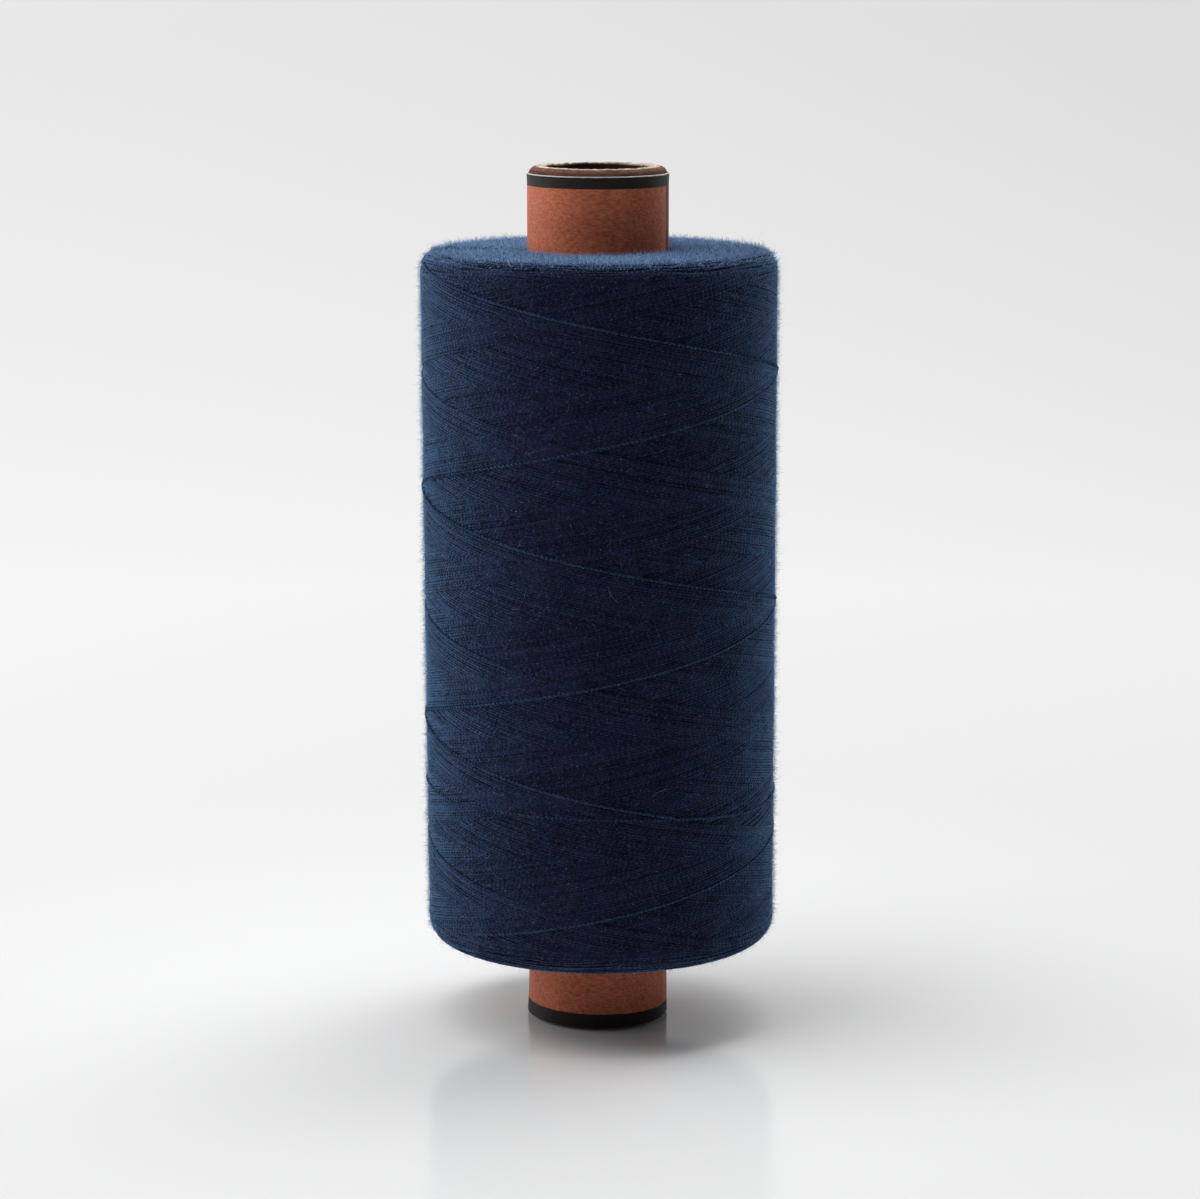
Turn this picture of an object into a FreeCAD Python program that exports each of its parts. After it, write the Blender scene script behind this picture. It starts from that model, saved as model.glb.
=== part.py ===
import FreeCAD, Part
import math
import os
import Sketcher

# A spool of sewing thread that stands on its paper tube. Millimetres, +Z up.
# The origin is on the tube's axis, at the height of the surface that the tube stands on.
# Angles round the spool are counted from -Y, the front, towards +X.

doc = FreeCAD.newDocument("thread_spool")
sizes = doc.addObject("Spreadsheet::Sheet", "sizes")

driving_sizes = [
    ("tube_length", 85.0, "paper tube, end to end"),
    ("bore_diameter", 10.2, "hole for the spool pin"),
    ("ply_thickness", 0.33, "one ply of the wound tube"),
    ("nose_radius", 0.75, "outer rounding of each tube end"),
    ("mouth_radius", 0.3, "inner rounding of each tube end"),
    ("label_thickness", 0.14, "paper of the printed wrap"),
    ("label_top_gap", 0.67, "from the wrap's top edge to the end of the tube"),
    ("label_foot_gap", 0.35, "from the wrap's foot edge to the end of the tube"),
    ("lap_width", 5.0, "double paper at the wrap's seam"),
    ("lap_ramp", 1.0, "where the paper climbs on to its own start"),
    ("seam_angle", 66.0, "the wrap's free edge, from the front"),
    ("bare_foot", 8.3, "bare tube below the thread"),
    ("bare_head", 8.2, "bare tube above the thread"),
    ("winding_diameter", 34.76, "package at its upper shoulder"),
    ("winding_taper", 0.4, "how much slimmer the package is at its lower shoulder"),
    ("upper_shoulder", 1.65, "rounding of the package at the top"),
    ("lower_shoulder", 2.2, "rounding of the package at the bottom"),
    ("winding_clearance", 0.02, "between the wrap's lap and the innermost thread"),
    ("thread_diameter", 0.2, "spun thread"),
    ("thread_clearance", 0.01, "under each of the last wraps"),
    ("wrap_pitch", 22.8, "climb of one turn of thread"),
    ("upward_start", 2.6, "lowest point of the last upward pass, above the package's lower face"),
    ("upward_angle", -50.0, "where that point lies, from the front"),
    ("pass_end", 0.9, "end of both last passes, below the package's upper face"),
    ("level_wrap_rise", 15.4, "the level turn that ends the winding, above the package's lower face"),
    ("level_wrap_angle", 25.0, "where the level turn starts, from the front"),
    ("level_wrap_sweep", 345.0, "how far it goes round"),
]
for row, (alias, value, note) in enumerate(driving_sizes, start=1):
    sizes.set("A%d" % row, str(value))
    sizes.set("B%d" % row, note)
    sizes.setAlias("A%d" % row, alias)
doc.recompute()

ply_names = ["tube_liner", "tube_inner_ply", "tube_middle_ply", "tube_outer_ply", "tube_facing"]

# What follows from the driving sizes
derived_sizes = [
    ("bore_radius", "bore_diameter / 2"),
    ("tube_radius", "bore_diameter / 2 + %d * ply_thickness" % len(ply_names)),
    ("label_radius", "tube_radius + label_thickness"),
    ("lap_radius", "tube_radius + 2 * label_thickness"),
    ("label_length", "tube_length - label_top_gap - label_foot_gap"),
    ("lap_turn", "lap_width / lap_radius * 180 / pi"),
    ("ramp_turn", "lap_ramp / lap_radius * 180 / pi"),
    ("winding_bore", "lap_radius + winding_clearance"),
    ("winding_height", "tube_length - bare_foot - bare_head"),
    ("upper_radius", "winding_diameter / 2"),
    ("lower_radius", "(winding_diameter - winding_taper) / 2"),
    ("cone_slope", "winding_taper / 2 / winding_height"),
    ("upward_seat", "thread_clearance + thread_diameter / 2"),
    ("downward_seat", "2 * thread_clearance + 1.5 * thread_diameter"),
    ("upward_height", "winding_height - upward_start - pass_end"),
    ("upward_radius", "lower_radius + upward_start * cone_slope + upward_seat"),
    ("downward_height", "winding_height - level_wrap_rise - pass_end"),
    ("downward_radius", "lower_radius + level_wrap_rise * cone_slope + downward_seat"),
]
for row, (alias, formula) in enumerate(derived_sizes, start=1):
    sizes.set("D%d" % row, "=" + formula)
    sizes.setAlias("D%d" % row, alias)
doc.recompute()


def size(alias):
    return float(sizes.get(alias))


def sketch_on(body, role, name):
    sketch = body.newObject("Sketcher::SketchObject", name)
    planes = [feature for feature in body.Origin.OriginFeatures if feature.Role == role]
    sketch.AttachmentSupport = (planes[0], [""])
    sketch.MapMode = "FlatFace"
    return sketch


def bind(sketch, constraint, formula):
    """Adds a constraint whose value follows the sheet, under a name of its own."""
    index = sketch.addConstraint(constraint)
    name = "size_%d" % index
    sketch.renameConstraint(index, name)
    sketch.setExpression("Constraints." + name, formula)


def point(x, y):
    return FreeCAD.Vector(x, y, 0)


# How a sketch numbers the ends and the centre of a curve, its own horizontal axis and its origin
START, END, CENTRE = 1, 2, 3
X_AXIS = -1
ORIGIN = (-1, 1)


def revolve(body, sketch, name):
    """Turns a profile about the body's upright axis."""
    turned = body.newObject("PartDesign::Revolution", name)
    turned.Profile = sketch
    turned.ReferenceAxis = (sketch, ["V_Axis"])
    turned.Angle = 360
    return turned


# Paper tube: the form that all plies share, with both ends rounded over
tube_form = doc.addObject("PartDesign::Body", "tube_form")
wall = sketch_on(tube_form, "XZ_Plane", "tube_wall")
inner, outer, height = size("bore_radius"), size("tube_radius"), size("tube_length")
corners = [(inner, 0), (outer, 0), (outer, height), (inner, height)]
for i, (x, y) in enumerate(corners):
    wall.addGeometry(Part.LineSegment(point(x, y), point(*corners[(i + 1) % 4])))
for i in range(4):
    wall.addConstraint(Sketcher.Constraint("Coincident", i, END, (i + 1) % 4, START))
for i in (0, 2):
    wall.addConstraint(Sketcher.Constraint("Horizontal", i))
for i in (1, 3):
    wall.addConstraint(Sketcher.Constraint("Vertical", i))
wall.addConstraint(Sketcher.Constraint("PointOnObject", 0, START, X_AXIS))
bind(wall, Sketcher.Constraint("DistanceX", *ORIGIN, 0, START, inner), "sizes.bore_radius")
bind(wall, Sketcher.Constraint("DistanceX", *ORIGIN, 0, END, outer), "sizes.tube_radius")
bind(wall, Sketcher.Constraint("DistanceY", 1, START, 1, END, height), "sizes.tube_length")
revolve(tube_form, wall, "tube_turned")
doc.recompute()


def edges_at(shape, radius):
    """Names of the round edges of that radius."""
    found = []
    for number, edge in enumerate(shape.Edges, start=1):
        if isinstance(edge.Curve, Part.Circle) and abs(edge.Curve.Radius - radius) < 1e-4:
            found.append("Edge%d" % number)
    return found


def fillet(body, name, radius_of_edges, alias):
    """Rounds the body's round edges of one radius."""
    base = body.Tip
    rounded = body.newObject("PartDesign::Fillet", name)
    rounded.Base = (base, edges_at(base.Shape, radius_of_edges))
    rounded.setExpression("Radius", "sizes." + alias)
    doc.recompute()


fillet(tube_form, "tube_nose", outer, "nose_radius")
fillet(tube_form, "tube_mouth", inner, "mouth_radius")

# Plies: rings of one paper thickness, each as long as the rounded form leaves it
pieces = []
for i, ply_name in enumerate(ply_names):
    ring_walls = []
    for side, count in (("outside", i + 1), ("inside", i)):
        cylinder = doc.addObject("Part::Cylinder", ply_name + "_" + side)
        cylinder.setExpression("Radius", "sizes.bore_radius + %d * sizes.ply_thickness" % count)
        cylinder.setExpression("Height", "sizes.tube_length")
        ring_walls.append(cylinder)
    ring = doc.addObject("Part::Cut", ply_name + "_ring")
    ring.Base, ring.Tool = ring_walls
    ply = doc.addObject("Part::Common", ply_name + "_solid")
    ply.Base = tube_form
    ply.Tool = ring
    ply.Label = ply_name
    pieces.append(ply)

# Printed wrap: one turn of label paper, glued down over its own start
label = doc.addObject("PartDesign::Body", "label")
label.Label = "printed_wrap"
label.setExpression("Placement.Base.z", "sizes.label_foot_gap")
sheet_end = sketch_on(label, "XY_Plane", "label_section")
free_edge = math.radians(size("seam_angle") - 90)
lap_start = free_edge - math.radians(size("lap_turn"))
ramp_start = lap_start - math.radians(size("ramp_turn"))


def polar(radius, angle):
    return point(radius * math.cos(angle), radius * math.sin(angle))


paper, doubled = size("label_radius"), size("lap_radius")
axis = FreeCAD.Vector(0, 0, 1)
lap_arc = Part.ArcOfCircle(Part.Circle(point(0, 0), axis, doubled), lap_start, free_edge)
round_arc = Part.ArcOfCircle(Part.Circle(point(0, 0), axis, paper), free_edge, ramp_start + 2 * math.pi)
LAP, ROUND, STEP, RAMP, BACK = range(5)
sheet_end.addGeometry(lap_arc)
sheet_end.addGeometry(round_arc)
sheet_end.addGeometry(Part.LineSegment(polar(doubled, free_edge), polar(paper, free_edge)))
sheet_end.addGeometry(Part.LineSegment(polar(paper, ramp_start), polar(doubled, lap_start)))
sheet_end.addGeometry(Part.Circle(point(0, 0), axis, outer))
for curve in (LAP, ROUND, BACK):
    sheet_end.addConstraint(Sketcher.Constraint("Coincident", curve, CENTRE, *ORIGIN))
sheet_end.addConstraint(Sketcher.Constraint("Coincident", LAP, END, STEP, START))
sheet_end.addConstraint(Sketcher.Constraint("Coincident", STEP, END, ROUND, START))
sheet_end.addConstraint(Sketcher.Constraint("Coincident", ROUND, END, RAMP, START))
sheet_end.addConstraint(Sketcher.Constraint("Coincident", RAMP, END, LAP, START))
bind(sheet_end, Sketcher.Constraint("Radius", LAP, doubled), "sizes.lap_radius")
bind(sheet_end, Sketcher.Constraint("Radius", ROUND, paper), "sizes.label_radius")
bind(sheet_end, Sketcher.Constraint("Radius", BACK, outer), "sizes.tube_radius")
spokes = [
    (STEP, START, doubled, free_edge, "sizes.seam_angle - 90"),
    (LAP, START, doubled, lap_start, "sizes.seam_angle - 90 - sizes.lap_turn"),
    (RAMP, START, paper, ramp_start, "sizes.seam_angle - 90 - sizes.lap_turn - sizes.ramp_turn"),
]
for curve, end, radius, angle, formula in spokes:
    spoke = sheet_end.addGeometry(Part.LineSegment(point(0, 0), polar(radius, angle)), True)
    sheet_end.addConstraint(Sketcher.Constraint("Coincident", spoke, START, *ORIGIN))
    sheet_end.addConstraint(Sketcher.Constraint("Coincident", spoke, END, curve, end))
    bind(sheet_end, Sketcher.Constraint("Angle", X_AXIS, START, spoke, START, angle), formula)
    if curve == STEP:
        sheet_end.addConstraint(Sketcher.Constraint("PointOnObject", STEP, END, spoke))
sheet_length = label.newObject("PartDesign::Pad", "label_length")
sheet_length.Profile = sheet_end
sheet_length.setExpression("Length", "sizes.label_length")
pieces.append(label)

# Thread package: a slightly tapered winding with rounded shoulders
package = doc.addObject("PartDesign::Body", "package")
package.Label = "wound_thread"
section = sketch_on(package, "XZ_Plane", "package_section")
core, foot, top = size("winding_bore"), size("bare_foot"), size("tube_length") - size("bare_head")
low, high = size("lower_radius"), size("upper_radius")
corners = [(core, foot), (low, foot), (high, top), (core, top)]
for i, (x, y) in enumerate(corners):
    section.addGeometry(Part.LineSegment(point(x, y), point(*corners[(i + 1) % 4])))
for i in range(4):
    section.addConstraint(Sketcher.Constraint("Coincident", i, END, (i + 1) % 4, START))
for i in (0, 2):
    section.addConstraint(Sketcher.Constraint("Horizontal", i))
section.addConstraint(Sketcher.Constraint("Vertical", 3))
bind(section, Sketcher.Constraint("DistanceX", *ORIGIN, 0, START, core), "sizes.winding_bore")
bind(section, Sketcher.Constraint("DistanceX", *ORIGIN, 0, END, low), "sizes.lower_radius")
bind(section, Sketcher.Constraint("DistanceX", *ORIGIN, 1, END, high), "sizes.upper_radius")
bind(section, Sketcher.Constraint("DistanceY", *ORIGIN, 0, START, foot), "sizes.bare_foot")
bind(section, Sketcher.Constraint("DistanceY", *ORIGIN, 2, START, top), "sizes.tube_length - sizes.bare_head")
revolve(package, section, "package_turned")
doc.recompute()
fillet(package, "package_upper_shoulder", high, "upper_shoulder")
fillet(package, "package_lower_shoulder", low, "lower_shoulder")
pieces.append(package)


def thread_section(name, radius_formula):
    """The cut end of a strand, upright, beside the spool's axis. Six flats stand for the round thread."""
    section = doc.addObject("Part::RegularPolygon", name + "_section")
    section.Polygon = 6
    section.setExpression("Circumradius", "sizes.thread_diameter / 2")
    section.Placement = FreeCAD.Placement(point(0, 0), FreeCAD.Rotation(FreeCAD.Vector(1, 0, 0), 90))
    section.setExpression("Placement.Base.x", radius_formula)
    return section


def place_strand(strand, height_formula, angle_formula):
    """Lifts a strand to where it starts and turns it there. Its angle is counted from the front."""
    strand.Placement = FreeCAD.Placement(point(0, 0), FreeCAD.Rotation(axis, 1.0))
    strand.setExpression("Placement.Base.z", height_formula)
    strand.setExpression("Placement.Rotation.Angle", angle_formula + " - 90")


# Last two passes of thread: the upward one lies on the package, the downward one crosses over it
passes = [
    ("upward_wraps", "upward_radius", "upward_start", "upward_height", "sizes.upward_angle", "Right-handed"),
    ("downward_wraps", "downward_radius", "level_wrap_rise", "downward_height", "sizes.level_wrap_angle",
     "Left-handed"),
]
for name, radius_alias, start_alias, height_alias, angle_formula, hand in passes:
    helix = doc.addObject("Part::Helix", name + "_path")
    helix.LocalCoord = hand
    helix.setExpression("Pitch", "sizes.wrap_pitch")
    helix.setExpression("Height", "sizes." + height_alias)
    helix.setExpression("Radius", "sizes." + radius_alias)
    helix.setExpression("Angle", "atan(sizes.cone_slope)")
    strand = doc.addObject("Part::Sweep", name + "_strand")
    strand.Sections = [thread_section(name, "sizes." + radius_alias)]
    strand.Spine = (helix, ["Edge1"])
    strand.Solid = True
    strand.Frenet = True
    strand.Label = name
    place_strand(strand, "sizes.bare_foot + sizes." + start_alias, angle_formula)
    pieces.append(strand)

# Level turn that ends the winding, from the lower end of the downward pass
level = doc.addObject("Part::Revolution", "level_strand")
level.Source = thread_section("level_wrap", "sizes.downward_radius")
level.Axis = axis
level.Solid = True
level.setExpression("Angle", "sizes.level_wrap_sweep")
level.Label = "level_wrap"
place_strand(level, "sizes.bare_foot + sizes.level_wrap_rise", "sizes.level_wrap_angle")
pieces.append(level)

doc.recompute()

# Every object has to be sound before anything is written
for thing in doc.Objects:
    if "Invalid" in thing.State or "Error" in thing.State:
        raise RuntimeError("%s is %s" % (thing.Name, thing.State))
for piece in pieces:
    if piece.Shape.isNull() or not piece.Shape.isValid() or len(piece.Shape.Solids) != 1:
        raise RuntimeError("%s has no sound solid" % piece.Label)

os.makedirs("parts", exist_ok=True)
for piece in pieces:
    piece.Shape.exportStep(os.path.join("parts", piece.Label + ".step"))
    box = piece.Shape.optimalBoundingBox()
    print("%-16s %9.1f mm3   z %6.2f to %6.2f   across %6.2f" % (
        piece.Label, piece.Shape.Volume, box.ZMin, box.ZMax, box.XLength))
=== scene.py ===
import math

import bpy
import numpy as np
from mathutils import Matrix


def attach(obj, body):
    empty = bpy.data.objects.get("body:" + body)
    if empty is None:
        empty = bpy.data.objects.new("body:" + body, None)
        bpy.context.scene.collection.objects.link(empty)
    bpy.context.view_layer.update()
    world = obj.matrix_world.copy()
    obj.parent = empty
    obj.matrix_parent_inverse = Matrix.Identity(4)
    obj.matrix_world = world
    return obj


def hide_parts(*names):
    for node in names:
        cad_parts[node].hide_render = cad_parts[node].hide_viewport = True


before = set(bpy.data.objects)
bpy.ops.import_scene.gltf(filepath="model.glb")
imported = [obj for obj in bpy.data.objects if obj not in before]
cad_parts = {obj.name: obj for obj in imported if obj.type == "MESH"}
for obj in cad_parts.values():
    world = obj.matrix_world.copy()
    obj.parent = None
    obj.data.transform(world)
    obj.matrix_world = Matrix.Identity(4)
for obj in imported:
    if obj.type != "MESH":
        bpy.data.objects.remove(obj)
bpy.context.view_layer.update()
mm = 0.001

# Spool of sewing thread. Lengths are in millimetres and angles in degrees, but the studio is in metres.
# Angles round the spool are counted from -Y, the front, towards +X.


def deselectAll():
    if bpy.context.object and bpy.context.object.mode != "OBJECT":
        bpy.ops.object.mode_set(mode="OBJECT")
    bpy.ops.object.select_all(action="DESELECT")


def makeActive(piece):
    deselectAll()
    piece.select_set(True)
    bpy.context.view_layer.objects.active = piece


def smoothOver(piece, angle=40):
    makeActive(piece)
    bpy.ops.object.shade_smooth_by_angle(angle=math.radians(angle))


def finishPiece(piece, material, slotName, *replacedNodes):
    piece.data.materials.clear()
    piece.data.materials.append(material)
    if replacedNodes:
        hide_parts(*replacedNodes)
    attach(piece, "root")


def turnProfile(name, profile, segments):
    # A ring is drawn at the first point, then extruded and scaled from point to point, and closed
    deselectAll()
    radius, height = profile[0]
    bpy.ops.mesh.primitive_circle_add(vertices=segments, radius=radius * mm,
                                      location=(0, 0, height * mm))
    piece = bpy.context.object
    piece.name = piece.data.name = name
    bpy.ops.object.mode_set(mode="EDIT")
    bpy.ops.mesh.select_all(action="SELECT")
    for nextRadius, nextHeight in list(profile[1:]) + [profile[0]]:
        climb = (nextHeight - height) * mm
        bpy.ops.mesh.extrude_region_move(TRANSFORM_OT_translate={"value": (0, 0, climb)})
        bpy.ops.transform.resize(value=(nextRadius / radius, nextRadius / radius, 1),
                                 center_override=(0, 0, nextHeight * mm))
        radius, height = nextRadius, nextHeight
    bpy.ops.mesh.select_all(action="SELECT")
    bpy.ops.mesh.remove_doubles(threshold=1e-6)
    bpy.ops.mesh.normals_make_consistent(inside=False)
    bpy.ops.object.mode_set(mode="OBJECT")
    bpy.ops.object.transform_apply(location=True, rotation=True, scale=True)
    return piece


def fillInputs(tree, node, inputs):
    # Each input gets a value, or a link from the socket given for it
    for socket, content in inputs.items():
        if isinstance(content, bpy.types.NodeSocket):
            tree.links.new(content, node.inputs[socket])
        else:
            node.inputs[socket].default_value = content


def addNode(tree, kind, inputs=None, **settings):
    node = tree.nodes.new("ShaderNode" + kind)
    for key, value in settings.items():
        setattr(node, key, value)
    fillInputs(tree, node, inputs or {})
    return node


def newMaterial(name):
    material = bpy.data.materials.new(name)
    material.use_nodes = True
    return material, material.node_tree, material.node_tree.nodes["Principled BSDF"]


def mathNode(tree, operation, *values):
    return addNode(tree, "Math", dict(enumerate(values)), operation=operation).outputs[0]


def scaleAdd(tree, value, factor, more):
    return mathNode(tree, "MULTIPLY_ADD", value, factor, more)


def mapRange(tree, value, fromMin, fromMax, toMin=0.0, toMax=1.0, **settings):
    inputs = {"Value": value, "From Min": fromMin, "From Max": fromMax,
              "To Min": toMin, "To Max": toMax}
    return addNode(tree, "MapRange", inputs, **settings).outputs["Result"]


def noise(tree, place, scale, detail=2, roughness=0.5, output="Fac"):
    inputs = {"Vector": place, "Scale": scale, "Detail": detail, "Roughness": roughness}
    return addNode(tree, "TexNoise", inputs).outputs[output]


def splitAxes(tree, vector):
    return addNode(tree, "SeparateXYZ", {0: vector}).outputs


def objectPlace(tree):
    return addNode(tree, "TexCoord").outputs["Object"]


def colorRamp(tree, source, stops):
    node = addNode(tree, "ValToRGB", {"Fac": source})
    elements = node.color_ramp.elements
    elements[0].position, elements[0].color = stops[0]
    elements[1].position, elements[1].color = stops[-1]
    for position, color in stops[1:-1]:
        elements.new(position).color = color
    return node.outputs["Color"]


def mixColors(tree, share, first, second):
    return addNode(tree, "Mix", {0: share, 6: first, 7: second}, data_type="RGBA").outputs[2]


def addBump(tree, shader, relief, strength, distance):
    bump = addNode(tree, "Bump", {"Height": relief, "Strength": strength, "Distance": distance})
    tree.links.new(bump.outputs[0], shader.inputs["Normal"])


# Camera

viewpoint = {
    "distance": 373.92,  # from the aim point
    "pitch": 10.23,      # looking down
    "aimHeight": 42.22,
    "aimAcross": 0.2,
    "focalPixels": 3777.57,
    "frameWidth": 1200,
    "sensorWidth": 36,
}

bpy.ops.object.camera_add()
camera = bpy.context.object
camera.name = "photoCamera"
down = math.radians(viewpoint["pitch"])
camera.location = (
    viewpoint["aimAcross"] * mm,
    -viewpoint["distance"] * math.cos(down) * mm,
    (viewpoint["aimHeight"] + viewpoint["distance"] * math.sin(down)) * mm,
)
camera.rotation_euler = (math.radians(90) - down, 0, 0)
camera.data.sensor_fit = "HORIZONTAL"
camera.data.sensor_width = viewpoint["sensorWidth"]
camera.data.lens = viewpoint["sensorWidth"] * viewpoint["focalPixels"] / viewpoint["frameWidth"]
camera.data.clip_start = 0.01
camera.data.clip_end = 20
bpy.context.scene.camera = camera
print("camera set")

# Light table: one sweep of pale board, a soft lamp above and weaker ones at both sides

studio = {
    "sweepWidth": 3.0,
    "sweepDepth": 1.6,
    "wallAt": 0.75,
    "wallHeight": 1.3,
    "cornerRadius": 0.5,
    "boardTone": (0.846, 0.848, 0.852, 1),
    "boardRoughness": 0.13,
    "lamps": {
        "topLamp": {"size": (1.0, 0.26), "at": (-0.02, 0.04, 0.48), "turn": (6, 0, 219.8),
                    "power": 3.00},
        "leftLamp": {"size": (0.35, 0.35), "at": (-0.41, 0.11, 0.20), "turn": (68, 0, -105),
                     "power": 1.04},
        "rightLamp": {"size": (0.35, 0.35), "at": (0.35, 0.245, 0.20), "turn": (68, 0, 125),
                      "power": 0.32},
    },
    "farFrom": 0.018,       # distances from the spool over which the pale tone takes over
    "farTo": 0.115,
    "paintedShadeNearSpool": 0.045,       # painted shade: how much darker the pale tone is near the spool
    "paintedShadeFrom": 0.05,
    "paintedFalloffFrom": 0.25,       # distances over which it turns into the wall's tone: a painted falloff of the light
    "paintedFalloffTo": 0.54,
    "farTone": 0.905,
    "wallTone": 0.768,
    # painted light: the pale tone is paler to the left, where the light comes from
    "paintedLightFromLeft": 0.29,
    "paintedLightFromLeftAtMost": 0.045,  # at most
    "paintedDimFrom": 0.10,        # heights over which the wall gets dimmer: painted shade
    "paintedDimTo": 0.35,
    "paintedDimShare": 0.7,
    "skyTone": (1.0, 1.0, 1.0, 1),
    "seenSky": 0.80,        # what the camera sees past the board
    "skyStrength": 0.42,    # light from the sides and behind
    "skyFromLeft": 0.4,     # how much of the sky light comes from the left
    "skyInFront": 0.065,    # light from the camera's side
    "skyTurns": (-0.2, 0.25),  # where the sky goes from the one strength to the other
}


def selectBackEdge():
    # Marks the sweep's lower edge at the back and stays in edit mode
    bpy.ops.mesh.select_all(action="DESELECT")
    bpy.ops.object.mode_set(mode="OBJECT")
    for edge in sweep.data.edges:
        ends = [sweep.data.vertices[v].co for v in edge.vertices]
        edge.select = all(e.y > 0 and e.z < 0.01 for e in ends)
    bpy.ops.object.mode_set(mode="EDIT")


deselectAll()
bpy.ops.mesh.primitive_plane_add(size=1)
sweep = bpy.context.object
sweep.name = "sweepBoard"
bpy.ops.object.mode_set(mode="EDIT")
bpy.ops.transform.resize(value=(studio["sweepWidth"], studio["sweepDepth"] + studio["wallAt"], 1))
bpy.ops.transform.translate(value=(0, (studio["wallAt"] - studio["sweepDepth"]) / 2, 0))
selectBackEdge()
bpy.ops.mesh.select_mode(type="EDGE")
bpy.ops.mesh.extrude_region_move(TRANSFORM_OT_translate={"value": (0, 0, studio["wallHeight"])})
selectBackEdge()
bpy.ops.mesh.bevel(offset=studio["cornerRadius"], segments=24, affect="EDGES")
bpy.ops.object.mode_set(mode="OBJECT")
smoothOver(sweep, 60)

sweepFinish, tree, shader = newMaterial("sweepBoardFinish")
fillInputs(tree, shader, {"Base Color": studio["boardTone"], "Specular IOR Level": 0.5,
                          "Roughness": studio["boardRoughness"]})
# far from the spool the board is seen in a pale emitted tone, which adds no light; painted shade and
# painted light shape that tone, as below
place = objectPlace(tree)
apart = addNode(tree, "VectorMath", {0: place}, operation="LENGTH").outputs["Value"]
split = splitAxes(tree, place)
ray = addNode(tree, "LightPath").outputs
seen = mathNode(tree, "MAXIMUM", ray["Is Camera Ray"],
                mathNode(tree, "MAXIMUM", ray["Is Glossy Ray"], ray["Is Transmission Ray"]))
far = mapRange(tree, apart, studio["farFrom"], studio["farTo"], interpolation_type="SMOOTHSTEP")
# painted shade: the pale tone falls from the board's tone to the wall's with distance
paintedFalloffLevel = mapRange(tree, apart, studio["paintedFalloffFrom"], studio["paintedFalloffTo"],
                studio["farTone"], studio["wallTone"])
# painted shade: the pale tone is darker near the spool
dip = mapRange(tree, apart, studio["paintedShadeFrom"], studio["paintedFalloffFrom"], -studio["paintedShadeNearSpool"], 0.0)
# painted light: the pale tone is paler to the left
aside = mathNode(tree, "MULTIPLY", split["X"], -studio["paintedLightFromLeft"])
aside = mathNode(tree, "MAXIMUM", aside, -studio["paintedLightFromLeftAtMost"])
aside = mathNode(tree, "MINIMUM", aside, studio["paintedLightFromLeftAtMost"])
# painted shade: the wall gets dimmer higher up
paintedDimming = mapRange(tree, split["Z"], studio["paintedDimFrom"], studio["paintedDimTo"], 1.0, studio["paintedDimShare"])
paleTone = mathNode(tree, "ADD", mathNode(tree, "ADD", paintedFalloffLevel, aside), dip)
glow = addNode(tree, "Emission", {"Strength": mathNode(tree, "MULTIPLY", paintedDimming, paleTone)})
both = addNode(tree, "MixShader", {0: mathNode(tree, "MULTIPLY", seen, far),
                                   1: shader.outputs[0], 2: glow.outputs[0]})
fillInputs(tree, tree.nodes["Material Output"], {"Surface": both.outputs[0]})
sweep.data.materials.append(sweepFinish)

for name, lamp in studio["lamps"].items():
    bpy.ops.object.light_add(type="AREA", location=lamp["at"],
                             rotation=[math.radians(t) for t in lamp["turn"]])
    light = bpy.context.object
    light.name = name
    light.data.shape = "RECTANGLE"
    light.data.size, light.data.size_y = lamp["size"]
    light.data.energy = lamp["power"]
    light.visible_camera = False

world = bpy.data.worlds.new("studioSky")
bpy.context.scene.world = world
world.use_nodes = True
tree = world.node_tree
ray = addNode(tree, "LightPath").outputs
seen = mathNode(tree, "MAXIMUM", ray["Is Camera Ray"], ray["Is Transmission Ray"])
split = splitAxes(tree, addNode(tree, "TexCoord").outputs["Generated"])
fromBehind = scaleAdd(tree, split["X"], -studio["skyFromLeft"], split["Y"])
skyLight = mapRange(tree, fromBehind, *studio["skyTurns"], studio["skyInFront"],
                    studio["skyStrength"])
sky = addNode(tree, "Mix", {0: seen, 2: skyLight, 3: studio["seenSky"]}, data_type="FLOAT")
fillInputs(tree, tree.nodes["Background"], {"Color": studio["skyTone"],
                                            "Strength": sky.outputs[0]})
bpy.context.scene.view_settings.view_transform = "Standard"
print("studio set")

# Paper tube: five plies, each its own ring, turned over at both ends

tube = {
    "bore": 5.1,          # radius
    "plyThick": 0.33,
    "plyCount": 5,
    "length": 85.0,
    "noseRadius": 0.85,   # outer rounding of both ends
    "mouthRadius": 0.12,  # inner rounding
    "segments": 144,
    "wallRows": [2.0, 8.0, 30.0, 55.0, 77.0, 83.0],  # heights
    "edgeGroove": 0.035,  # how deep the glue line between plies shows at an end
    "fray": 0.20,         # how far the ends of the plies are worn down
    "frayAtFoot": 0.4,    # share of it at the foot
    "frayReach": 1.1,     # how far from an end the wear goes
    "frayWaves": (2, 70),
    "edgeSteps": 720,
    "seed": 5,
}
tubeOuter = tube["bore"] + tube["plyCount"] * tube["plyThick"]


def endDrop(radius):
    # How far the rounded end lies under the tube's full length at a radius
    t = tube
    nose = max(0.0, radius - (tubeOuter - t["noseRadius"]))
    mouth = max(0.0, (t["bore"] + t["mouthRadius"]) - radius)
    drop = t["noseRadius"] - math.sqrt(max(0.0, t["noseRadius"] ** 2 - nose ** 2))
    return drop + t["mouthRadius"] - math.sqrt(max(0.0, t["mouthRadius"] ** 2 - mouth ** 2))


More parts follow.
